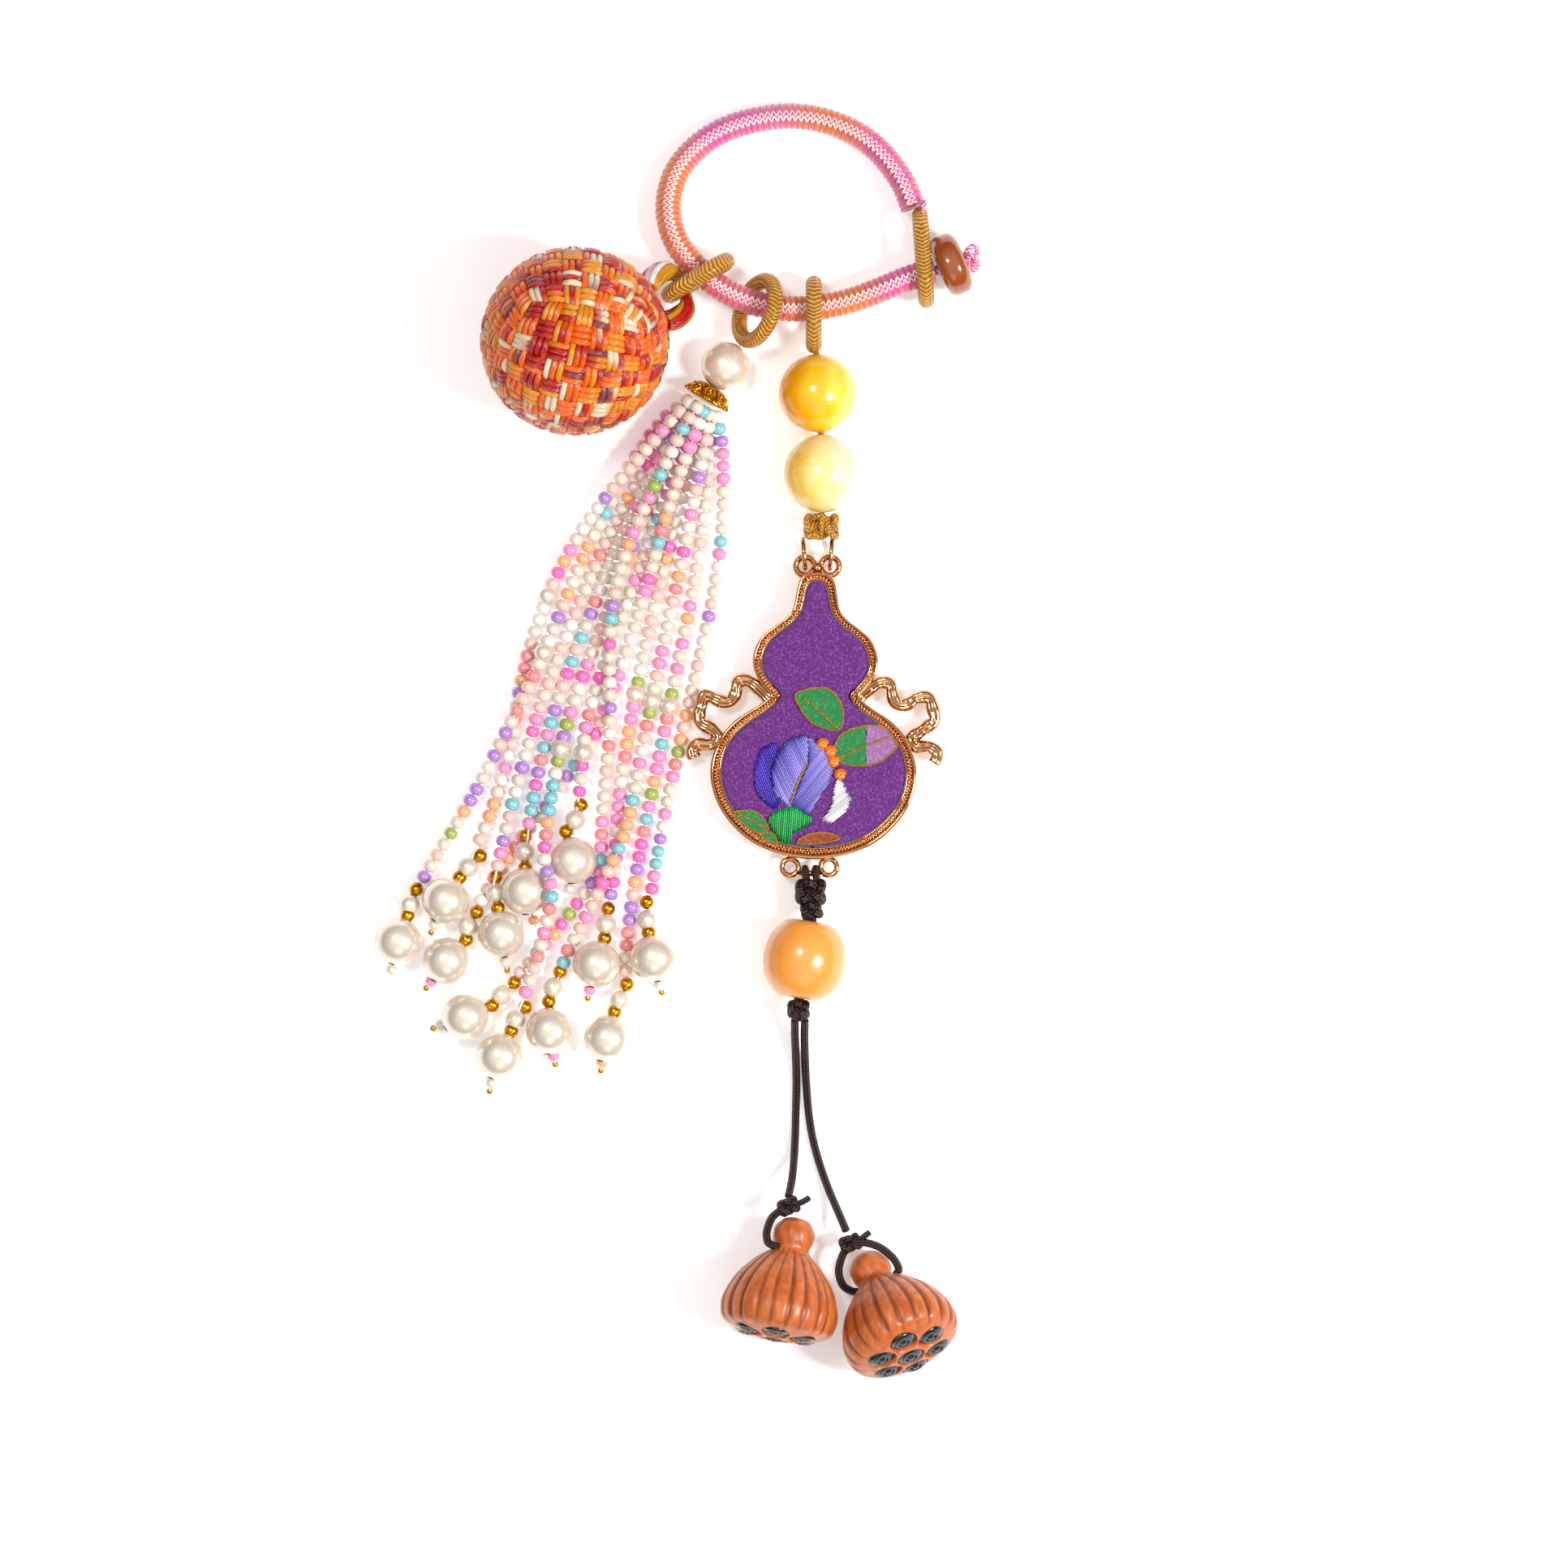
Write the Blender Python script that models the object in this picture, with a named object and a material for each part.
# Embroidered tassel charm, lying on a flat surface: the construction solids.
# Tables are in millimetres, in the layout of the charm as it lies. X is right, Y is away, Z is up.

import math

import bmesh
import bpy
import numpy as np
from mathutils import Matrix, Vector

MM = 0.001
GAP_MM = 0.35
LAYOUT_CENTRE_MM = (0.57, 0.11)

FINISHES = {
    # name: (red, green, blue, roughness, metallic)
    "pink_silk": (0.85, 0.33, 0.42, 0.40, 0.0),
    "gold_thread": (0.72, 0.42, 0.07, 0.35, 0.9),
    "ball_silk": (0.80, 0.16, 0.02, 0.35, 0.0),
    "gold_plate": (0.83, 0.52, 0.12, 0.20, 1.0),
    "rose_gold": (0.86, 0.46, 0.27, 0.18, 1.0),
    "pearl": (0.88, 0.82, 0.74, 0.18, 0.0),
    "glass_bead": (0.90, 0.74, 0.74, 0.25, 0.0),
    "yellow_glass": (0.90, 0.62, 0.10, 0.12, 0.0),
    "honey_resin": (0.95, 0.44, 0.10, 0.30, 0.0),
    "brown_stone": (0.09, 0.03, 0.02, 0.20, 0.0),
    "dark_cord": (0.03, 0.015, 0.012, 0.50, 0.0),
    "purple_cloth": (0.20, 0.03, 0.34, 0.55, 0.0),
    "green_cloth": (0.02, 0.30, 0.14, 0.55, 0.0),
    "carved_wood": (0.55, 0.17, 0.04, 0.45, 0.0),
    "black_horn": (0.02, 0.02, 0.025, 0.30, 0.0),
}

# Wrapped loop: centreline of the cord, from the closure round to the toggle.
LOOP_DIAMETER_MM = 4.6
LOOP_RIBS = 64
LOOP_RIB_DEPTH_MM = 0.3
LOOP_ROUTE_MM = [
    (41.5, 92.1, 5.4), (39.6, 96.6, 4.6), (35.9, 101.6, 3.3), (31.4, 105.1, 2.3), (25.6, 107.3, 2.15),
    (19.5, 107.9, 2.15), (13.7, 107.1, 2.15), (8.4, 105.3, 2.15), (3.9, 102.2, 2.3), (0.8, 98.3, 2.9),
    (-0.6, 93.8, 3.8), (-0.4, 89.2, 4.8), (1.4, 84.9, 5.5), (5.3, 80.4, 5.75), (9.2, 77.6, 5.8),
    (12.9, 75.9, 5.85), (16.2, 75.0, 5.75), (21.1, 74.5, 5.45), (26.1, 74.9, 5.4), (31.0, 76.0, 5.4),
    (35.9, 77.8, 5.4), (40.0, 79.5, 5.4), (43.3, 80.6, 5.4), (45.2, 80.95, 5.4),
]

# Closure: the stone disc that buttons through the wrapped eye, and its knot.
TOGGLE_AXIS = (0.927, 0.375, 0.0)
DISC_CENTRE_MM = (48.15, 82.15, 5.55)
DISC_DIAMETER_MM = 11.1
DISC_THICKNESS_MM = 4.8
DISC_EDGE_MM = 1.0
TOGGLE_KNOT_CENTRE_MM = (51.35, 83.45, 5.4)
TOGGLE_KNOT_RADIUS_MM = 1.3
TOGGLE_KNOT_LENGTH_MM = 1.5

# Wrapped eye of the closure and the rings that ride on the loop, all seen nearly edge-on from above.
RINGS = {
    # node: ends in plan, total height, wire diameter, lean about its own length in degrees
    "closure_eye": {"ends": ((42.6, 92.1), (43.9, 74.6)), "height": 10.8, "wire": 2.8, "lean": 0.0},
    "ring_ball": {"ends": ((10.6, 83.5), (-1.7, 76.15)), "height": 11.4, "wire": 3.1, "lean": 0.0},
    "ring_tassel": {"ends": ((16.8, 80.6), (12.5, 67.7)), "height": 12.9, "wire": 2.8, "lean": 28.0},
    "ring_drop": {"ends": ((24.4, 80.3), (24.4, 66.8)), "height": 10.8, "wire": 2.8, "lean": 0.0},
}

# Woven ball and the satin tie that hangs it from its ring.
BALL_CENTRE_MM = (-16.6, 68.5)
BALL_RADIUS_MM = 16.4
BALL_FLAT_DEPTH_MM = 0.35
BALL_CELLS = 6
BALL_RELIEF_MM = 0.6
BALL_FLAT_RADIUS_MM = 3.5
TIE_ROUTE_MM = [
    # x, y, z, radius
    (-4.1, 78.3, 10.45, 1.9), (-3.0, 79.9, 9.6, 2.0), (-1.1, 80.9, 8.0, 1.8), (0.8, 80.2, 6.6, 1.2),
    (2.0, 78.3, 5.9, 0.8), (2.5, 76.2, 5.9, 1.1), (2.3, 74.3, 6.8, 1.7), (0.8, 72.8, 8.4, 2.0),
    (-1.25, 72.15, 9.75, 1.9),
]

# Tassel head and its strands.
TASSEL_PEARL_MM = (9.2, 64.7, 4.25)
CAP_CENTRE_MM = (6.35, 59.95, 4.3)
CAP_AXIS = (-0.512, -0.859, 0.0)
CAP_SCALLOPS = 8
STRAND_MOUTH_MM = (5.3, 58.2)
STRAND_ACROSS = (0.859, -0.512)
PLUG_END_CENTRE_MM = (1.9, 50.6, 3.1)
PLUG_END_ACROSS = (0.97, -0.24)
PLUG_RADIUS_MM = 3.1
PLUG_END_HALF_WIDTH_MM = 7.6
PLUG_END_HALF_HEIGHT_MM = 2.5
BEAD_DIAMETER_MM = 2.6
BEAD_FLAT_MM = 0.12
STRAND_STEP_MM = 2.0
STRAND_BEND_MM = 0.22
STRAND_LONGEST_SIDE_MM = 9.0
SETTLE_ROUNDS = 220
SETTLE_SPACING_MM = 2.65
SETTLE_ROOT_SPACING_MM = 1.2
SETTLE_ROOT_SPREAD = 0.25
SETTLE_PUSH = 0.22
SETTLE_PEARL_PUSH = 0.5
SETTLE_SMOOTHING = 0.12
STRAND_SIDE_RADIUS_MM = 1.15
END_PEARL_RADIUS_MM = 4.1
STRANDS = {
    # number: (across the mouth, height at the mouth), then the way points as they lie
    1: ((-2.0, 3.3), [
        (-3.4, 54.5, 2.6), (-6.0, 51.5, 1.9), (-8.5, 47.4, 1.4), (-11.0, 41.8, 1.3), (-12.8, 37.2, 1.3),
        (-14.2, 31.3, 1.3), (-17.3, 25.7, 1.3), (-19.7, 20.1, 1.3), (-22.6, 13.2, 2.6), (-25.7, 6.7, 4.0),
        (-27.9, 2.2, 3.6), (-30.5, -3.3, 1.6), (-34.4, -10.2, 1.3), (-38.9, -17.0, 1.3),
        (-42.8, -23.3, 1.4),
    ]),
    2: ((-1.8, 5.4), [
        (-2.3, 51.6, 5.2), (-6.2, 48.0, 4.6), (-10.9, 43.5, 4.2), (-14.9, 38.3, 2.4), (-18.3, 33.4, 1.4),
        (-21.5, 26.8, 1.3), (-24.0, 21.2, 1.3), (-25.7, 14.2, 1.3), (-27.2, 8.9, 1.3), (-27.0, 4.0, 1.3),
        (-27.8, -1.6, 1.3), (-29.6, -8.6, 1.3), (-31.7, -15.6, 1.4),
    ]),
    3: ((0.7, 5.8), [
        (2.0, 50.9, 5.6), (-0.1, 45.3, 4.4), (-1.9, 38.3, 4.0), (-4.0, 31.3, 2.2), (-5.8, 24.3, 1.3),
        (-7.2, 18.0, 1.3), (-8.5, 13.1, 1.3), (-10.7, 7.5, 1.3), (-12.8, 0.8, 1.3), (-17.2, -4.8, 1.3),
        (-19.7, -9.0, 1.3), (-22.8, -14.2, 1.3), (-26.3, -19.4, 1.3), (-30.3, -24.2, 1.3),
        (-32.6, -26.7, 1.4),
    ]),
    4: ((-1.2, 2.7), [
        (-1.9, 50.2, 1.7), (-6.5, 43.2, 1.3), (-9.6, 38.3, 1.3), (-11.7, 32.7, 1.3), (-14.1, 27.1, 1.3),
        (-16.3, 21.5, 1.3), (-19.4, 14.8, 1.3), (-21.6, 8.9, 1.3), (-23.6, 3.3, 1.5), (-25.0, -1.6, 2.2),
        (-26.1, -5.8, 3.0), (-27.4, -10.0, 3.6), (-28.5, -14.2, 3.9), (-29.8, -19.1, 3.9),
        (-30.5, -21.9, 3.8),
    ]),
    5: ((-0.9, 4.3), [
        (-0.9, 49.5, 4.2), (-4.3, 43.9, 4.0), (-7.1, 38.3, 3.6), (-9.3, 33.4, 2.0), (-11.3, 29.2, 1.3),
        (-13.0, 23.6, 1.3), (-15.1, 18.1, 1.3), (-17.3, 12.8, 1.3), (-19.4, 7.8, 1.3), (-21.8, 3.3, 1.5),
        (-23.3, -0.6, 1.8), (-23.9, -5.1, 2.2), (-24.3, -10.0, 3.4), (-25.0, -14.6, 4.2),
    ]),
    6: ((0.4, 3.8), [
        (0.5, 50.2, 3.4), (-1.5, 43.9, 1.5), (-4.3, 37.6, 1.3), (-6.2, 31.3, 1.3), (-8.5, 25.0, 1.3),
        (-10.7, 18.0, 1.3), (-13.0, 11.7, 1.3), (-14.2, 6.1, 1.3), (-14.9, 0.5, 1.3), (-15.1, -5.1, 1.3),
        (-15.5, -9.3, 1.5),
    ]),
    7: ((-0.3, 6.2), [
        (3.3, 53.0, 6.2), (0.5, 49.8, 5.2), (-2.9, 45.6, 4.4), (-6.2, 40.0, 4.0), (-8.5, 34.8, 3.6),
        (-10.0, 29.2, 2.8), (-11.3, 23.6, 1.8), (-12.1, 17.3, 1.4), (-11.7, 10.9, 1.4), (-10.2, 4.0, 1.4),
        (-9.5, -1.6, 1.5), (-11.3, -6.2, 2.0), (-13.1, -10.7, 1.5), (-13.0, -18.4, 1.3),
        (-14.1, -24.0, 1.3), (-17.0, -29.2, 1.3), (-20.1, -34.2, 1.3), (-24.3, -38.2, 1.3),
    ]),
    8: ((-0.4, 2.6), [
        (-0.4, 49.5, 1.6), (-3.2, 42.5, 1.3), (-5.4, 36.2, 1.3), (-7.9, 29.9, 1.3), (-10.0, 23.6, 1.3),
        (-13.1, 17.3, 1.3), (-15.9, 12.3, 1.3), (-17.7, 8.2, 1.3), (-19.1, 3.3, 1.5), (-20.4, -3.0, 2.8),
        (-21.1, -8.6, 3.9), (-21.6, -14.2, 4.6), (-21.7, -20.5, 6.6), (-21.2, -26.1, 7.4),
        (-21.4, -31.7, 6.0), (-22.2, -37.3, 4.2), (-24.0, -42.2, 3.0),
    ]),
    9: ((1.5, 5.2), [
        (5.3, 52.3, 5.0), (4.3, 46.7, 4.2), (3.3, 39.0, 3.8), (1.9, 31.3, 2.0), (0.2, 24.3, 1.3),
        (-1.3, 18.0, 1.3), (-2.9, 11.7, 1.3), (-3.9, 6.1, 1.3), (-4.8, 0.2, 1.3), (-6.0, -6.2, 1.3),
        (-7.2, -12.1, 1.4), (-8.9, -18.4, 2.4), (-11.0, -24.0, 3.8), (-13.5, -27.8, 3.4),
        (-15.6, -32.7, 1.6), (-18.3, -37.6, 1.4),
    ]),
    10: ((0.8, 2.5), [
        (2.7, 50.2, 1.5), (1.6, 42.5, 1.3), (-0.2, 35.5, 1.3), (-2.2, 27.8, 1.3), (-4.0, 20.8, 1.3),
        (-5.4, 14.2, 1.3), (-7.2, 9.6, 1.3), (-7.8, 4.0, 1.3), (-8.2, -2.3, 1.3), (-9.2, -7.9, 1.3),
        (-10.2, -12.8, 1.3), (-10.9, -18.4, 1.3), (-10.6, -24.7, 1.3),
    ]),
    11: ((1.8, 3.4), [
        (6.1, 51.6, 2.6), (6.2, 43.9, 1.4), (5.5, 35.5, 1.3), (4.3, 27.8, 1.3), (2.5, 20.8, 1.3),
        (1.1, 14.2, 1.3), (0.1, 8.9, 1.3), (-1.5, 1.9, 1.3), (-2.6, -5.1, 1.3), (-4.6, -13.5, 1.3),
        (-6.0, -19.8, 1.3), (-7.2, -26.1, 1.3), (-7.9, -33.1, 1.3), (-8.1, -39.0, 1.4),
    ]),
    12: ((2.2, 4.6), [
        (8.3, 53.7, 4.2), (9.3, 48.1, 2.6), (9.6, 41.1, 1.3), (9.0, 34.8, 1.3), (7.9, 27.8, 1.3),
        (6.2, 20.1, 1.3), (4.8, 14.2, 1.3), (3.0, 7.5, 1.3), (1.3, -0.2, 1.3), (-0.1, -6.5, 1.3),
        (-1.5, -13.5, 1.3), (-2.9, -20.5, 1.3), (-3.9, -25.4, 1.4),
    ]),
}
STRAND_ENDS_MM = {
    # number: (gilt bead, small pearl, large pearl), each in plan
    1: ((-44.2, -25.6), (-45.4, -28.2), (-47.3, -34.6)),
    2: ((-33.2, -19.8), (-35.3, -21.8), (-39.1, -27.5)),
    3: ((-33.8, -29.5), (-35.3, -32.1), (-39.0, -37.9)),
    4: ((-30.5, -23.4), (-30.5, -26.1), (-29.5, -33.3)),
    5: ((-25.4, -16.4), (-25.5, -19.1), (-25.4, -25.9)),
    6: ((-15.8, -11.0), (-16.8, -13.6), (-17.2, -20.6)),
    7: ((-27.3, -41.7), (-29.6, -43.8), (-35.7, -47.5)),
    8: ((-25.4, -45.9), (-27.1, -48.1), (-29.8, -54.4)),
    9: ((-19.4, -39.8), (-20.6, -42.5), (-21.2, -50.0)),
    10: ((-11.1, -28.9), (-11.5, -31.6), (-13.1, -38.5)),
    11: ((-7.9, -42.0), (-9.1, -44.8), (-11.2, -51.3)),
    12: ((-4.4, -27.8), (-4.3, -30.9), (-3.2, -37.5)),
}
END_HEIGHTS_MM = (2.0, 2.6, 4.1)

# Bead drop between the loop and the frame.
YELLOW_RADIUS_MM = 6.75
YELLOW_UPPER_MM = (25.1, 59.9)
YELLOW_LOWER_MM = (26.0, 46.1)
GOLD_KNOT_MM = (25.7, 37.0, 5.2)
BAIL_X_MM = {"bail_left": (22.5, 22.9), "bail_right": (27.6, 27.2)}
BAIL_Y_MM = (34.9, 29.75)
BAIL_HEIGHT_MM = 4.2
BAIL_WIRE_MM = 0.9

# Gourd frame: right half of its outlines about its own axis, paired point by point.
FRAME_ORIGIN_MM = (24.5, 4.3)
FRAME_LEAN_DEG = -1.05
FRAME_HEIGHT_MM = 6.5
FRAME_MID_MM = FRAME_HEIGHT_MM / 2
GOURD_MM = [
    # outer x, outer y, window x, window y
    (0.0, 24.75, 0.0, 23.4), (1.85, 24.5, 1.15, 23.0), (3.05, 23.4, 1.85, 21.9), (3.6, 21.0, 2.2, 20.1),
    (4.1, 18.4, 2.8, 17.9), (5.3, 16.8, 4.2, 16.1), (7.3, 15.3, 6.05, 14.6), (9.4, 13.5, 7.9, 12.95),
    (10.6, 11.1, 9.0, 10.9), (10.8, 8.75, 9.3, 8.75), (10.0, 6.55, 8.7, 6.85), (8.8, 4.7, 7.4, 5.2),
    (7.8, 3.3, 6.0, 3.45), (10.1, 1.4, 8.1, 1.1), (13.1, -0.5, 10.7, -0.75), (15.5, -2.95, 13.3, -2.95),
    (17.0, -5.9, 15.1, -5.6), (17.8, -9.0, 15.9, -8.4), (17.5, -12.5, 15.8, -11.7),
    (16.1, -16.1, 14.6, -15.0), (13.6, -19.4, 12.35, -17.9), (10.4, -22.0, 9.3, -20.3),
    (6.75, -23.6, 5.85, -21.8), (3.1, -24.4, 2.8, -22.4), (0.0, -24.65, 0.0, -22.6),
]
FRAME_SECTION = [
    # share of the way from outer to window outline, height
    (0.0, 0.5), (0.18, 0.0), (0.85, 0.0), (1.0, 0.5), (1.0, 6.1), (0.84, FRAME_HEIGHT_MM), (0.64, 6.05),
    (0.36, 6.05), (0.18, FRAME_HEIGHT_MM), (0.0, 6.1),
]
RIBBON_RADIUS_MM = 1.0
RIBBON_LEFT_MM = [
    (17.4, 6.5), (15.9, 8.0), (14.2, 9.7), (12.6, 10.5), (11.2, 10.1), (10.9, 8.3), (9.8, 6.8),
    (8.0, 7.0), (5.7, 7.9), (5.0, 6.1), (4.6, 4.6), (4.9, 3.1), (6.9, 2.0), (7.8, 0.6), (6.6, -0.6),
    (4.3, -0.6), (3.4, -1.6), (3.8, -2.9),
]
RIBBON_RIGHT_MM = [
    (31.3, 6.5), (33.0, 8.0), (34.6, 9.4), (36.3, 10.1), (37.6, 9.7), (38.0, 7.9), (38.7, 6.4),
    (40.4, 6.3), (42.2, 7.4), (44.2, 7.5), (44.9, 5.7), (45.2, 3.5), (43.2, 1.9), (41.2, 0.4),
    (42.2, -1.0), (44.0, -0.9), (45.4, -1.6), (45.7, -2.7), (45.1, -3.8),
]
FRAME_RINGS_MM = {
    # name: (x, y, centreline radius, wire radius)
    "top_left": (22.9, 30.2, 1.6, 0.55), "top_right": (27.2, 30.2, 1.6, 0.55),
    "bottom_left": (20.3, -21.75, 1.4, 0.5), "bottom_right": (27.0, -21.75, 1.4, 0.5),
}
FRAME_BALL_MM = (25.05, 29.9, 1.15)
FRAME_BAR_MM = ((21.4, -22.8), (25.9, -22.8), 0.55)

# Embroidered panels, front up and back down, in the window of the frame.
PANEL_GAP_MM = 0.5
PANEL_CROWN_INSET_MM = 1.1
PANELS_MM = {
    # node: (finish, height of the flat inner side, of the rim, of the crown)
    "panel_front": ("purple_cloth", 3.4, 5.1, 5.7),
    "panel_back": ("green_cloth", 3.1, 1.4, 0.9),
}

# Below the frame: knot, barrel bead, knot, two cords and two carved pods.
KNOT_TOP_ENDS_MM = ((23.8, -23.75, 3.9), (24.0, -29.95, 6.1))
BARREL_CENTRE_MM = (22.8, -37.6, 7.15)
BARREL_AXIS = (0.17, 0.985, 0.0)
BARREL_PROFILE_MM = [(0.0, -6.7), (3.3, -6.7), (5.9, -4.7), (7.15, -1.6), (7.15, 1.6), (5.9, 4.7),
                     (3.3, 6.7), (0.0, 6.7)]
KNOT_BOTTOM_ENDS_MM = ((21.6, -44.95, 6.8), (21.9, -47.6, 6.1))
POD_CORD_DIAMETER_MM = 1.4
POD_CORDS_MM = {
    "cord_left": [
        (21.1, -48.05, 5.6), (21.15, -51.0, 3.5), (21.3, -55.0, 1.5), (21.4, -59.0, 0.72),
        (21.3, -64.0, 0.66), (21.2, -68.1, 0.75), (21.0, -71.8, 1.8), (20.7, -75.0, 4.2),
        (20.3, -77.2, 6.3), (20.0, -78.4, 7.3),
    ],
    "cord_right": [
        (22.85, -48.05, 5.6), (22.8, -51.0, 3.5), (22.9, -55.0, 1.5), (23.1, -59.0, 0.72),
        (23.5, -64.0, 0.66), (24.2, -68.5, 0.66), (25.4, -73.0, 0.75), (27.0, -77.5, 1.4),
        (28.5, -81.0, 3.0), (29.5, -83.3, 4.4), (29.95, -84.4, 5.0),
    ],
}
POD_RIBS = 16
POD_RIB_DEPTH = 0.045
POD_PROFILE_MM = [
    # radius, distance from the top of the stem
    (0.0, 0.0), (2.2, 0.6), (3.5, 2.3), (3.55, 4.1), (3.2, 5.9), (5.6, 8.0), (8.4, 11.4), (9.9, 14.8),
    (10.2, 17.0), (9.4, 19.4), (6.8, 20.7), (0.0, 21.7),
]
POD_SMOOTH_ROWS = 4
POD_FLAT_MM = 0.1
PODS = {
    # name: top of the stem in plan, direction in plan, rise of the axis towards the seeds in degrees
    "left": {"stem": (21.56, -81.97), "heading": (-0.191, -0.982), "rise": 9.0},
    "right": {"stem": (32.94, -88.65), "heading": (0.428, -0.904), "rise": 28.0},
}
SEED_RING_MM = 5.3
SEED_COUNT = 7
PIT_RADIUS_MM = 1.95
PIT_DEPTH_MM = 1.3
PIT_CUT_MM = 3.0
SEED_RADIUS_MM = 1.6
SEED_SEAT_MM = 0.3
SEED_SUNK_MM = 0.15
SEED_TIP_MM = 0.35
POD_KNOTS_MM = {
    "pod_knot_left": {
        "ends": ((21.5, -79.9, 8.2), (18.2, -80.3, 8.2)), "radius": 1.35,
        "loops": [[(19.0, -80.5, 8.4), (17.2, -82.0, 8.8), (16.3, -84.3, 9.3), (16.4, -85.9, 10.0),
                   (16.95, -86.5, 10.4)]],
    },
    "pod_knot_right": {
        "ends": ((32.2, -86.2, 5.6), (28.8, -87.0, 5.4)), "radius": 1.6,
        "loops": [[(30.2, -87.0, 5.6), (29.2, -89.0, 5.6), (28.7, -91.5, 5.2), (29.4, -93.8, 4.8),
                   (30.9, -94.8, 4.7)],
                  [(31.2, -86.4, 6.2), (33.5, -86.4, 7.2), (36.0, -87.3, 7.6), (38.0, -89.0, 6.8),
                   (38.9, -90.5, 5.6), (39.0, -91.3, 5.0)]],
    },
}
HALF_TURN = math.pi

for item in list(bpy.data.objects):
    bpy.data.objects.remove(item, do_unlink=True)

charm = bpy.data.objects.new("charm", None)
charm.location = (-LAYOUT_CENTRE_MM[0] * MM, -LAYOUT_CENTRE_MM[1] * MM, 0.0)
bpy.context.scene.collection.objects.link(charm)


def finish(name):
    """The material of one finish, made once."""
    material = bpy.data.materials.get(name) or bpy.data.materials.new(name)
    red, green, blue, roughness, metallic = FINISHES[name]
    material.use_nodes = True
    shader = material.node_tree.nodes["Principled BSDF"]
    shader.inputs["Base Color"].default_value = (red, green, blue, 1.0)
    shader.inputs["Roughness"].default_value = roughness
    shader.inputs["Metallic"].default_value = metallic
    return material


def add_object(name, data, finish_name, centre_mm=(0.0, 0.0, 0.0), axis=None):
    """Link one object under the charm, its own Z axis turned to the given axis."""
    item = bpy.data.objects.new(name, data)
    item.location = Vector(centre_mm) * MM
    if axis is not None:
        item.rotation_euler = Vector(axis).to_track_quat("Z", "Y").to_euler()
    item.parent = charm
    data.materials.append(finish(finish_name))
    bpy.context.scene.collection.objects.link(item)
    return item


def add_mesh(name, mesh_bm, finish_name, centre_mm=(0.0, 0.0, 0.0), axis=None):
    """Close a bmesh into an object, its faces turned outwards."""
    bmesh.ops.recalc_face_normals(mesh_bm, faces=mesh_bm.faces)
    mesh = bpy.data.meshes.new(name)
    mesh_bm.to_mesh(mesh)
    mesh_bm.free()
    return add_object(name, mesh, finish_name, centre_mm, axis)


def smooth_points(way_points, step_mm, closed=False):
    """Evenly spaced points along a Catmull-Rom curve through the way points."""
    points = np.array(way_points, dtype=float)
    if closed:
        padded = np.vstack([points[-1], points, points[0], points[1]])
    else:
        padded = np.vstack([2 * points[0] - points[1], points, 2 * points[-1] - points[-2]])
    dense = []
    for i in range(1, len(padded) - 2):
        before, start, end, after = padded[i - 1:i + 3]
        for t in np.linspace(0.0, 1.0, 12, endpoint=False):
            dense.append(0.5 * (2 * start + (end - before) * t
                                + (2 * before - 5 * start + 4 * end - after) * t ** 2
                                + (3 * start - before - 3 * end + after) * t ** 3))
    dense.append(padded[-2])
    dense = np.array(dense)
    travel = np.concatenate([[0.0], np.cumsum(np.linalg.norm(np.diff(dense[:, :3], axis=0), axis=1))])
    count = max(2, round(travel[-1] / step_mm))
    stations = np.linspace(0.0, travel[-1], count + 1)
    if closed:
        stations = stations[:-1]
    return np.stack([np.interp(stations, travel, dense[:, k]) for k in range(dense.shape[1])], axis=1)


def tube_curve(name, points_mm, radii_mm, sides, closed=False, twist="Z_UP"):
    """Curve data of a round tube with a flat of its section facing down."""
    curve = bpy.data.curves.new(name, "CURVE")
    curve.dimensions = "3D"
    curve.twist_mode = twist
    curve.bevel_depth = MM
    curve.bevel_resolution = (sides - 4) // 2
    curve.use_fill_caps = True
    spline = curve.splines.new("POLY")
    spline.use_cyclic_u = closed
    spline.points.add(len(points_mm) - 1)
    for point, place, radius in zip(spline.points, points_mm, radii_mm):
        point.co = (place[0] * MM, place[1] * MM, place[2] * MM, 1.0)
        point.radius = radius
        point.tilt = HALF_TURN / sides
    return curve


def add_tube(name, points_mm, radius_mm, sides, finish_name, closed=False, twist="Z_UP"):
    """A tube as a curve object; radius_mm is one number or one for each point."""
    radii = np.broadcast_to(radius_mm, (len(points_mm),))
    return add_object(name, tube_curve(name, points_mm, radii, sides, closed, twist), finish_name)


def curve_to_mesh(item):
    """Swap a curve object for a mesh object of the same shape."""
    graph = bpy.context.evaluated_depsgraph_get()
    mesh = bpy.data.meshes.new_from_object(item.evaluated_get(graph))
    name, location, material = item.name, item.location.copy(), item.data.materials[0].name
    bpy.data.objects.remove(item, do_unlink=True)
    solid = bmesh.new()
    solid.from_mesh(mesh)
    bmesh.ops.remove_doubles(solid, verts=solid.verts, dist=1e-6)
    mesh.materials.clear()
    return add_mesh(name, solid, material, location / MM)


def combine(target, tools, operation="UNION"):
    """Join or cut a target with hidden tool objects."""
    for tool in tools:
        tool.hide_render = True
        tool.display_type = "WIRE"
        modifier = target.modifiers.new(operation.title() + " " + tool.name, "BOOLEAN")
        modifier.operation = operation
        modifier.solver = "EXACT"
        modifier.object = tool


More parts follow.
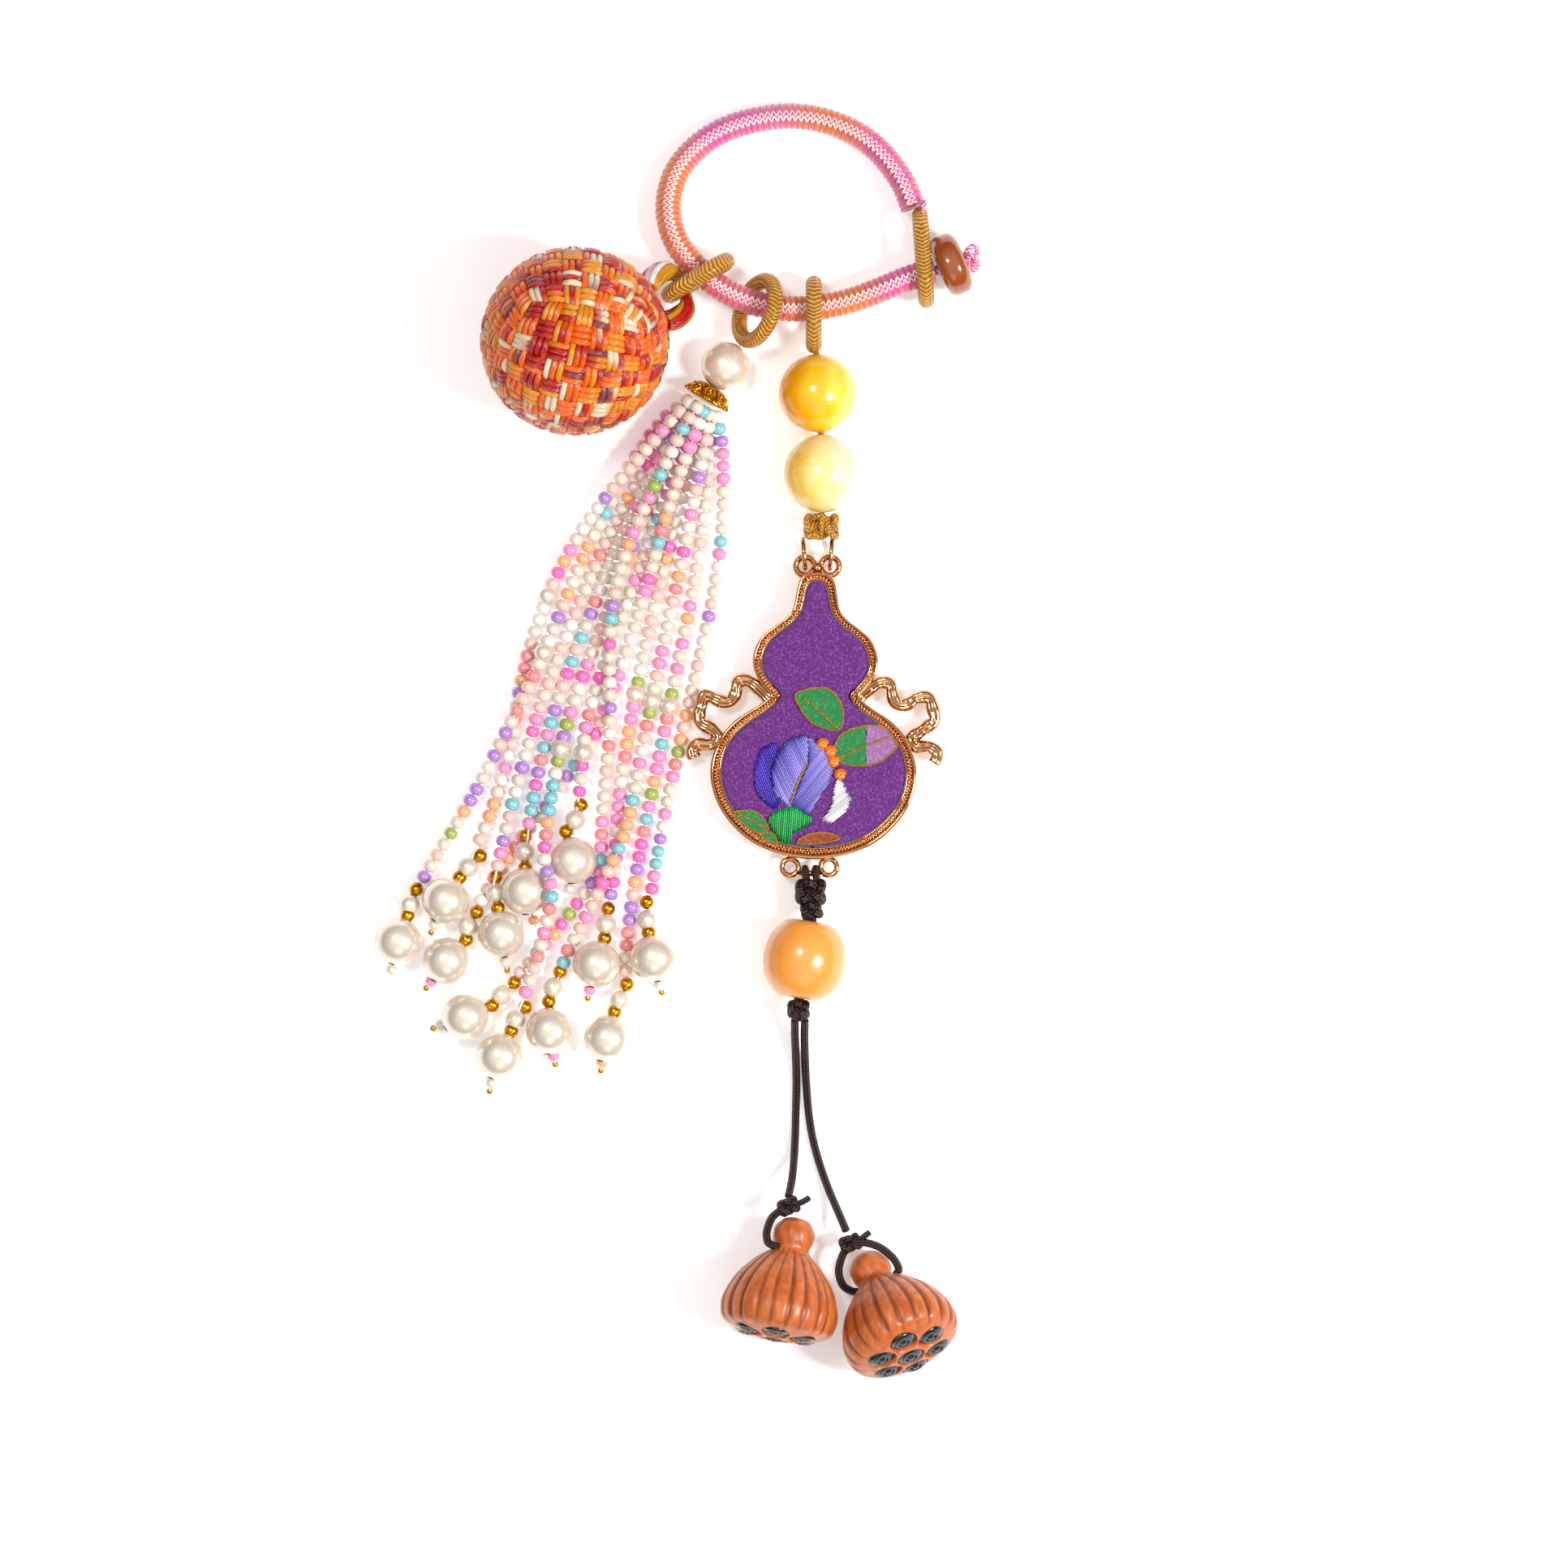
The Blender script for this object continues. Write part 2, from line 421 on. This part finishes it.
def lathe(name, profile_mm, segments, finish_name, centre_mm, axis=(0.0, 0.0, 1.0), swell=None):
    """Spin a profile of (radius, distance along the axis) into a solid of revolution."""
    solid = bmesh.new()
    verts = [solid.verts.new((radius * MM, 0.0, along * MM)) for radius, along in profile_mm]
    edges = [solid.edges.new(pair) for pair in zip(verts, verts[1:])]
    bmesh.ops.spin(solid, geom=verts + edges, cent=(0, 0, 0), axis=(0, 0, 1), angle=2 * HALF_TURN,
                   steps=segments, use_merge=True)
    bmesh.ops.remove_doubles(solid, verts=solid.verts, dist=1e-6)
    if swell is not None:
        for vert in solid.verts:
            factor = swell(math.atan2(vert.co.y, vert.co.x), vert.co.z / MM)
            vert.co.x *= factor
            vert.co.y *= factor
    return add_mesh(name, solid, finish_name, centre_mm, axis)


def knot(name, ends_mm, radius_mm, coils, finish_name, segments=10):
    """A tight knot as a short stack of coils along its axis, each coil a raised rib."""
    start, end = Vector(ends_mm[0]), Vector(ends_mm[1])
    length = (end - start).length
    pitch = length / coils
    profile = [(0.0, -length / 2), (0.62 * radius_mm, -length / 2)]
    for coil in range(coils):
        crest = -length / 2 + (coil + 0.5) * pitch
        profile.append((radius_mm, crest))
        if coil < coils - 1:
            profile.append((0.8 * radius_mm, crest + pitch / 2))
    profile += [(0.62 * radius_mm, length / 2), (0.0, length / 2)]
    return lathe(name, profile, segments, finish_name, (start + end) / 2, end - start)


def bead(name, centre_mm, radius_mm, segments, rings, finish_name):
    """A round bead resting on the surface on a small flat."""
    solid = bmesh.new()
    bmesh.ops.create_uvsphere(solid, u_segments=segments, v_segments=rings, radius=radius_mm * MM)
    rest = (radius_mm - BEAD_FLAT_MM) * MM
    bmesh.ops.bisect_plane(solid, geom=solid.verts[:] + solid.edges[:] + solid.faces[:], dist=1e-8,
                           plane_co=(0, 0, -rest), plane_no=(0, 0, -1), clear_outer=True)
    bmesh.ops.holes_fill(solid, edges=[edge for edge in solid.edges if edge.is_boundary])
    return add_mesh(name, solid, finish_name, (centre_mm[0], centre_mm[1], radius_mm - BEAD_FLAT_MM))


def oval_ring(name, ends, height, wire, lean, finish_name):
    """A wrapped ring standing on the surface, its two straight limbs one above the other."""
    first, last = Vector(ends[0]), Vector(ends[1])
    along = (last - first).normalized()
    across = Vector((-along.y, along.x))
    half_height = (height - wire) / 2 / math.cos(math.radians(lean))
    half_straight = max(0.3, (last - first).length / 2 - wire / 2 - half_height)
    upright = Vector((across.x * math.sin(math.radians(lean)), across.y * math.sin(math.radians(lean)),
                      math.cos(math.radians(lean))))
    middle = (first + last) / 2
    half_arc = (last - first).length / 2 - wire / 2 - half_straight
    points = []
    for side, start_angle in ((1, HALF_TURN / 2), (-1, -HALF_TURN / 2)):
        for turn in np.linspace(0.0, HALF_TURN, 10):
            angle = start_angle - turn
            u = side * half_straight + half_arc * math.cos(angle)
            v = half_height * math.sin(angle)
            points.append((middle.x + along.x * u + upright.x * v, middle.y + along.y * u + upright.y * v,
                           height / 2 + upright.z * v))
    return add_tube(name, points, wire / 2, 8, finish_name, closed=True, twist="MINIMUM")


def gourd_outline(share, inset_mm=0.0):
    """Closed outline of the gourd in its own frame; share 0 is the rim, 1 the window."""
    half = [(a + (c - a) * share, b + (d - b) * share) for a, b, c, d in GOURD_MM]
    whole = half + [(-x, y) for x, y in reversed(half[1:-1])]
    if inset_mm == 0.0:
        return whole
    moved = []
    for i, point in enumerate(whole):
        here = Vector(point)
        back = (here - Vector(whole[i - 1])).normalized()
        ahead = (Vector(whole[(i + 1) % len(whole)]) - here).normalized()
        bisector = (back + ahead).normalized()
        inward = Vector((bisector.y, -bisector.x))
        moved.append(tuple(here + inward * inset_mm / max(0.5, bisector.dot(ahead))))
    return moved


def stacked_outlines(name, outlines, closed_section, finish_name):
    """A solid through a stack of outlines (points, height), as a ring or with both ends filled."""
    solid = bmesh.new()
    loops = []
    for outline, height in outlines:
        verts = [solid.verts.new((x * MM, y * MM, height * MM)) for x, y in outline]
        edges = [solid.edges.new((verts[i - 1], verts[i])) for i in range(len(verts))]
        loops.append(edges)
        if not closed_section and len(loops) in (1, len(outlines)):
            solid.faces.new(verts)
    pairs = list(zip(loops, loops[1:]))
    if closed_section:
        pairs.append((loops[-1], loops[0]))
    for lower, upper in pairs:
        bmesh.ops.bridge_loops(solid, edges=lower + upper)
    item = add_mesh(name, solid, finish_name, (FRAME_ORIGIN_MM[0], FRAME_ORIGIN_MM[1], 0.0))
    item.rotation_euler = (0.0, 0.0, math.radians(FRAME_LEAN_DEG))
    return item


def settle(routes, obstacles):
    """Push strands apart to one bead's width, keep them on the surface and off fixed round things."""
    points = np.vstack(routes)
    strand = np.concatenate([np.full(len(route), k) for k, route in enumerate(routes)])
    order = np.concatenate([np.arange(len(route)) for route in routes])
    last = np.concatenate([np.full(len(route), len(route) - 1) for route in routes])
    fixed = (order == 0) | (order >= last - 1)
    near_root = SETTLE_ROOT_SPACING_MM + SETTLE_ROOT_SPREAD * order * STRAND_STEP_MM
    apart = np.minimum(SETTLE_SPACING_MM, near_root)
    reach = np.minimum(apart[:, None], apart[None, :])
    other = strand[:, None] != strand[None, :]
    for _ in range(SETTLE_ROUNDS):
        offset = points[:, None, :] - points[None, :, :]
        distance = np.linalg.norm(offset, axis=2) + 1e-9
        overlap = np.where(other & (distance < reach), reach - distance, 0.0)
        push = (offset / distance[:, :, None] * overlap[:, :, None]).sum(axis=1) * SETTLE_PUSH
        for centre, radius, own in obstacles:
            away = points - np.array(centre)
            gap = np.linalg.norm(away, axis=1) + 1e-9
            inside = np.where((gap < radius) & (strand != own), radius - gap, 0.0)
            push += away / gap[:, None] * inside[:, None] * SETTLE_PEARL_PUSH
        smooth = np.zeros_like(points)
        inner = (order > 0) & (order < last)
        rows = np.nonzero(inner)[0]
        smooth[rows] = (points[rows - 1] + points[rows + 1]) / 2 - points[rows]
        move = push + SETTLE_SMOOTHING * smooth
        move[fixed] = 0.0
        points = points + move
        points[:, 2] = np.maximum(points[:, 2], BEAD_DIAMETER_MM / 2)
    return [points[strand == k] for k in range(len(routes))]


def strand_routes():
    """Centrelines of the twelve strands, from the cap to just short of each large pearl."""
    routes = []
    obstacles = []
    clear = END_PEARL_RADIUS_MM + BEAD_DIAMETER_MM / 2 + GAP_MM
    for index, (number, ((across, height), way)) in enumerate(STRANDS.items()):
        root = (STRAND_MOUTH_MM[0] + STRAND_ACROSS[0] * across,
                STRAND_MOUTH_MM[1] + STRAND_ACROSS[1] * across, height)
        gilt, small, pearl = STRAND_ENDS_MM[number]
        pearl = Vector((*pearl, END_HEIGHTS_MM[2]))
        small = Vector((*small, END_HEIGHTS_MM[1]))
        stop = pearl + (small - pearl).normalized() * (END_PEARL_RADIUS_MM + GAP_MM)
        way_points = [root] + way + [(*gilt, END_HEIGHTS_MM[0]), tuple(small), tuple(stop)]
        routes.append(smooth_points(way_points, STRAND_STEP_MM))
        obstacles.append((tuple(pearl), clear, index))
    return settle(routes, obstacles)


def build_loop():
    """Silk-wrapped loop cord: raised wraps as alternating wide and narrow rings."""
    points = smooth_points(LOOP_ROUTE_MM, 1.0)
    travel = np.concatenate([[0.0], np.cumsum(np.linalg.norm(np.diff(points, axis=0), axis=1))])
    stations = np.linspace(0.0, travel[-1], 2 * LOOP_RIBS + 1)
    points = np.stack([np.interp(stations, travel, points[:, k]) for k in range(3)], axis=1)
    radii = [LOOP_DIAMETER_MM / 2 - (LOOP_RIB_DEPTH_MM if i % 2 == 0 else 0.0) for i in range(len(points))]
    add_tube("loop_cord", points, radii, 8, "pink_silk")


def build_closure():
    """Stone disc of the closure and the small knot that stops it."""
    rim = DISC_DIAMETER_MM / 2
    half = DISC_THICKNESS_MM / 2
    face = rim - DISC_EDGE_MM
    shoulder = half - DISC_EDGE_MM
    profile = [(0.0, -half), (face, -half), (rim, -shoulder), (rim, shoulder), (face, half), (0.0, half)]
    lathe("toggle_disc", profile, 24, "brown_stone", DISC_CENTRE_MM, TOGGLE_AXIS)
    half_knot = Vector(TOGGLE_AXIS) * TOGGLE_KNOT_LENGTH_MM / 2
    centre = Vector(TOGGLE_KNOT_CENTRE_MM)
    ends = (centre - half_knot, centre + half_knot)
    knot("toggle_knot", ends, TOGGLE_KNOT_RADIUS_MM, 2, "pink_silk", segments=8)


def build_ball():
    """Woven ball as a rounded cube of raised cells, resting on a small flat."""
    steps = 2 * BALL_CELLS
    solid = bmesh.new()
    bmesh.ops.create_cube(solid, size=2.0)
    bmesh.ops.subdivide_edges(solid, edges=solid.edges, cuts=steps - 1, use_grid_fill=True)
    rest = BALL_RADIUS_MM - BALL_FLAT_DEPTH_MM
    for vert in solid.verts:
        raised = sum(round((value + 1.0) * BALL_CELLS) % 2 for value in vert.co if abs(value) < 0.999)
        lift = BALL_RADIUS_MM - BALL_RELIEF_MM * (1.0, 0.45, 0.0)[raised]
        rounded = Vector([math.tan(value * HALF_TURN / 4) for value in vert.co]).normalized() * lift
        if rounded.z < 0.0 and rounded.xy.length < BALL_FLAT_RADIUS_MM:
            rounded.z = -rest
        vert.co = Vector((rounded.x, rounded.y, max(rounded.z, -rest))) * MM
    add_mesh("woven_ball", solid, "ball_silk", (BALL_CENTRE_MM[0], BALL_CENTRE_MM[1], rest))
    tie = smooth_points(TIE_ROUTE_MM, 1.8)
    add_tube("ball_tie", tie[:, :3], tie[:, 3], 8, "ball_silk")


def build_tassel_head():
    """Pearl and scalloped gilt cap over the strands."""
    bead("tassel_pearl", TASSEL_PEARL_MM, TASSEL_PEARL_MM[2], 14, 8, "pearl")
    profile = [(0.0, -1.0), (1.9, -0.85), (3.3, -0.1), (4.0, 1.2), (3.6, 1.35), (2.7, 0.5), (0.0, 0.1)]
    lathe("bead_cap", profile, 2 * CAP_SCALLOPS, "gold_plate", CAP_CENTRE_MM, CAP_AXIS,
          swell=lambda angle, along: 1.0 + 0.06 * math.cos(CAP_SCALLOPS * angle) * (along > 0.9))


def build_strands():
    """Twelve beaded strands as four-sided tubes, rooted in one backing under the cap."""
    solid = bmesh.new()
    rings = []
    half_flat = STRAND_SIDE_RADIUS_MM * math.cos(HALF_TURN / 4)
    drop = BEAD_DIAMETER_MM / 2 - half_flat
    for (x, y, z), (ax, ay), half_width, half_height in (
            ((*STRAND_MOUTH_MM, 4.2), STRAND_ACROSS, PLUG_RADIUS_MM, PLUG_RADIUS_MM),
            (PLUG_END_CENTRE_MM, PLUG_END_ACROSS, PLUG_END_HALF_WIDTH_MM, PLUG_END_HALF_HEIGHT_MM)):
        verts = []
        for turn in np.linspace(0.0, 2 * HALF_TURN, 16, endpoint=False):
            u, v = half_width * math.cos(turn), half_height * math.sin(turn)
            verts.append(solid.verts.new(((x + ax * u) * MM, (y + ay * u) * MM, (z + v) * MM)))
        rings.append(list(solid.faces.new(verts).edges))
    bmesh.ops.bridge_loops(solid, edges=rings[0] + rings[1])
    backing = add_mesh("tassel_strands", solid, "glass_bead")
    tools = []
    for number, route in zip(STRANDS, strand_routes()):
        route = thin_out(route) - np.array([0.0, 0.0, drop])
        strand = add_tube(f"strand_tool_{number:02d}", route, STRAND_SIDE_RADIUS_MM, 4, "glass_bead")
        tools.append(curve_to_mesh(strand))
    combine(backing, tools)
    for number, (_, _, pearl) in STRAND_ENDS_MM.items():
        bead(f"end_pearl_{number:02d}", pearl, END_PEARL_RADIUS_MM, 10, 7, "pearl")


def thin_out(route):
    """Drop points of a nearly straight run, so that a strand keeps only what bends it."""
    kept = [0]
    for i in range(1, len(route) - 1):
        chord = route[i + 1] - route[kept[-1]]
        between = route[kept[-1] + 1:i + 1] - route[kept[-1]]
        off = np.linalg.norm(np.cross(between, chord), axis=1) / np.linalg.norm(chord)
        if off.max() > STRAND_BEND_MM or np.linalg.norm(chord) > STRAND_LONGEST_SIDE_MM:
            kept.append(i)
    kept.append(len(route) - 1)
    return route[kept]


def build_drop():
    """Two yellow beads, the metallic knot under them and the two links of the bail."""
    bead("yellow_bead_upper", YELLOW_UPPER_MM, YELLOW_RADIUS_MM, 16, 9, "yellow_glass")
    bead("yellow_bead_lower", YELLOW_LOWER_MM, YELLOW_RADIUS_MM, 16, 9, "yellow_glass")
    x, y, z = GOLD_KNOT_MM
    knot("gold_knot", ((x - 3.4, y - 0.2, z), (x + 3.4, y + 0.2, z)), 2.05, 4, "gold_thread")
    for name, (upper_x, lower_x) in BAIL_X_MM.items():
        points = []
        middle = ((upper_x + lower_x) / 2, sum(BAIL_Y_MM) / 2)
        half_length = (BAIL_Y_MM[0] - BAIL_Y_MM[1]) / 2
        for turn in np.linspace(0.0, 2 * HALF_TURN, 12, endpoint=False):
            along, up = math.cos(turn) * half_length, math.sin(turn) * BAIL_HEIGHT_MM / 2
            points.append((middle[0] + (upper_x - lower_x) / 2 * math.cos(turn), middle[1] + along,
                           FRAME_MID_MM + up))
        add_tube(name, points, BAIL_WIRE_MM / 2, 6, "rose_gold", closed=True, twist="MINIMUM")


def build_frame():
    """Gourd frame, cast in one piece with its ribbons, hanging rings, ball and bar."""
    outlines = [(gourd_outline(share), height) for share, height in FRAME_SECTION]
    frame = stacked_outlines("gourd_frame", outlines, True, "rose_gold")
    tools = []
    for name, route in (("ribbon_left", RIBBON_LEFT_MM), ("ribbon_right", RIBBON_RIGHT_MM)):
        points = smooth_points([(x, y, FRAME_MID_MM) for x, y in route], 1.5)
        tools.append(curve_to_mesh(add_tube(name, points, RIBBON_RADIUS_MM, 6, "rose_gold")))
    for name, (x, y, radius, wire) in FRAME_RINGS_MM.items():
        turns = np.linspace(0.0, 2 * HALF_TURN, 12, endpoint=False)
        points = [(x + radius * math.cos(turn), y + radius * math.sin(turn), FRAME_MID_MM) for turn in turns]
        tools.append(curve_to_mesh(add_tube(name, points, wire, 6, "rose_gold", closed=True)))
    start, end, wire = FRAME_BAR_MM
    bar = [(*start, FRAME_MID_MM), (*end, FRAME_MID_MM)]
    tools.append(curve_to_mesh(add_tube("bottom_bar", bar, wire, 6, "rose_gold")))
    ball = bmesh.new()
    bmesh.ops.create_icosphere(ball, subdivisions=1, radius=FRAME_BALL_MM[2] * MM)
    tools.append(add_mesh("top_ball", ball, "rose_gold", (FRAME_BALL_MM[0], FRAME_BALL_MM[1], FRAME_MID_MM)))
    combine(frame, tools)


def build_panels():
    """Front and back embroidered panels, padded to a low crown inside the window."""
    edge = gourd_outline(1.0, PANEL_GAP_MM)
    crown = gourd_outline(1.0, PANEL_GAP_MM + PANEL_CROWN_INSET_MM)
    for name, (finish_name, inner, rim, top) in PANELS_MM.items():
        stacked_outlines(name, [(edge, inner), (edge, rim), (crown, top)], False, finish_name)


def build_lower_drop():
    """Knots, barrel bead and the two thin cords."""
    knot("knot_top", KNOT_TOP_ENDS_MM, 2.75, 4, "dark_cord", segments=12)
    lathe("barrel_bead", BARREL_PROFILE_MM, 16, "honey_resin", BARREL_CENTRE_MM, BARREL_AXIS)
    knot("knot_bottom", KNOT_BOTTOM_ENDS_MM, 2.05, 2, "dark_cord")
    for name, route in POD_CORDS_MM.items():
        add_tube(name, smooth_points(route, 2.6), POD_CORD_DIAMETER_MM / 2, 8, "dark_cord")


def seed_places():
    """Places of the seeds on the face of a pod: one in the middle and a ring around it."""
    turns = HALF_TURN / 6 + np.linspace(0.0, 2 * HALF_TURN, SEED_COUNT - 1, endpoint=False)
    ring = [(SEED_RING_MM * math.cos(turn), SEED_RING_MM * math.sin(turn)) for turn in turns]
    return [(0.0, 0.0)] + ring


def face_height(radius):
    """Distance along the axis of the domed face at a radius."""
    rim_radius, rim = POD_PROFILE_MM[-2]
    return POD_PROFILE_MM[-1][1] + (rim - POD_PROFILE_MM[-1][1]) * (radius / rim_radius)


def cylinder(name, radius_mm, low_mm, high_mm, place, finish_name, tip_mm=0.0):
    """A short round peg along its own Z axis, with an optional raised tip."""
    x, y = place
    solid = bmesh.new()
    bmesh.ops.create_cone(solid, cap_ends=True, cap_tris=tip_mm > 0.0, segments=8, radius1=radius_mm * MM,
                          radius2=radius_mm * MM, depth=(high_mm - low_mm) * MM)
    if tip_mm > 0.0:
        tip = max(solid.verts, key=lambda vert: (vert.co.z, -vert.co.xy.length))
        tip.co.z += tip_mm * MM
    bmesh.ops.translate(solid, verts=solid.verts, vec=Vector((x, y, (low_mm + high_mm) / 2)) * MM)
    return add_mesh(name, solid, finish_name)


def build_pods():
    """Carved pods lying on their bellies, pits cut in the face and a seed in each."""
    def ribbed(angle, along):
        wide = POD_PROFILE_MM[POD_SMOOTH_ROWS][1] + 0.5 < along < POD_PROFILE_MM[-2][1] - 0.1
        return 1.0 - POD_RIB_DEPTH * (1.0 - math.cos(POD_RIBS * angle)) / 2 * wide

    for side, pod in PODS.items():
        rise = math.radians(pod["rise"])
        axis = Vector((pod["heading"][0] * math.cos(rise), pod["heading"][1] * math.cos(rise), math.sin(rise)))
        body = lathe(f"pod_{side}", POD_PROFILE_MM, 2 * POD_RIBS, "carved_wood", (0, 0, 0), axis, swell=ribbed)
        body.rotation_euler = axis.to_track_quat("Z", "Y").to_euler()
        turned = body.rotation_euler.to_matrix()
        lowest = min((turned @ vert.co).z for vert in body.data.vertices)
        body.location = (pod["stem"][0] * MM, pod["stem"][1] * MM, -lowest)
        flatten(body, POD_FLAT_MM)
        pits = []
        for number, place in enumerate(seed_places()):
            face = face_height(math.hypot(*place))
            floor = face - PIT_DEPTH_MM
            pit = cylinder(f"pit_{side}_{number}", PIT_RADIUS_MM, floor, face + PIT_CUT_MM, place, "black_horn")
            seed = cylinder(f"seed_{side}_{number}", SEED_RADIUS_MM, floor + SEED_SEAT_MM, face - SEED_SUNK_MM,
                            place, "black_horn", SEED_TIP_MM)
            for item in (pit, seed):
                item.location = body.location
                item.rotation_euler = body.rotation_euler
            pits.append(pit)
        combine(body, pits, "DIFFERENCE")


def flatten(item, depth_mm):
    """Cut the underside of a lying piece level and set it down on the surface."""
    turned = Matrix.Translation(item.location) @ item.rotation_euler.to_matrix().to_4x4()
    inverse = turned.inverted()
    solid = bmesh.new()
    solid.from_mesh(item.data)
    bmesh.ops.bisect_plane(solid, geom=solid.verts[:] + solid.edges[:] + solid.faces[:], dist=1e-7,
                           plane_co=inverse @ Vector((0.0, 0.0, depth_mm * MM)),
                           plane_no=inverse.to_3x3() @ Vector((0.0, 0.0, -1.0)), clear_outer=True)
    bmesh.ops.holes_fill(solid, edges=[edge for edge in solid.edges if edge.is_boundary])
    bmesh.ops.recalc_face_normals(solid, faces=solid.faces)
    solid.to_mesh(item.data)
    solid.free()
    item.location.z -= depth_mm * MM


def build_pod_knots():
    """Knots over the pods with the loops that hold each stem."""
    for name, row in POD_KNOTS_MM.items():
        body = knot(name, row["ends"], row["radius"], 3, "dark_cord", segments=10)
        tools = []
        for number, route in enumerate(row["loops"]):
            points = smooth_points(route, 1.6)
            loop = add_tube(f"{name}_loop_{number}", points, POD_CORD_DIAMETER_MM / 2, 6, "dark_cord")
            tools.append(curve_to_mesh(loop))
        combine(body, tools)


build_loop()
build_closure()
for ring_name, ring in RINGS.items():
    oval_ring(ring_name, ring["ends"], ring["height"], ring["wire"], ring["lean"], "gold_thread")
build_ball()
build_tassel_head()
build_strands()
build_drop()
build_frame()
build_panels()
build_lower_drop()
build_pods()
build_pod_knots()
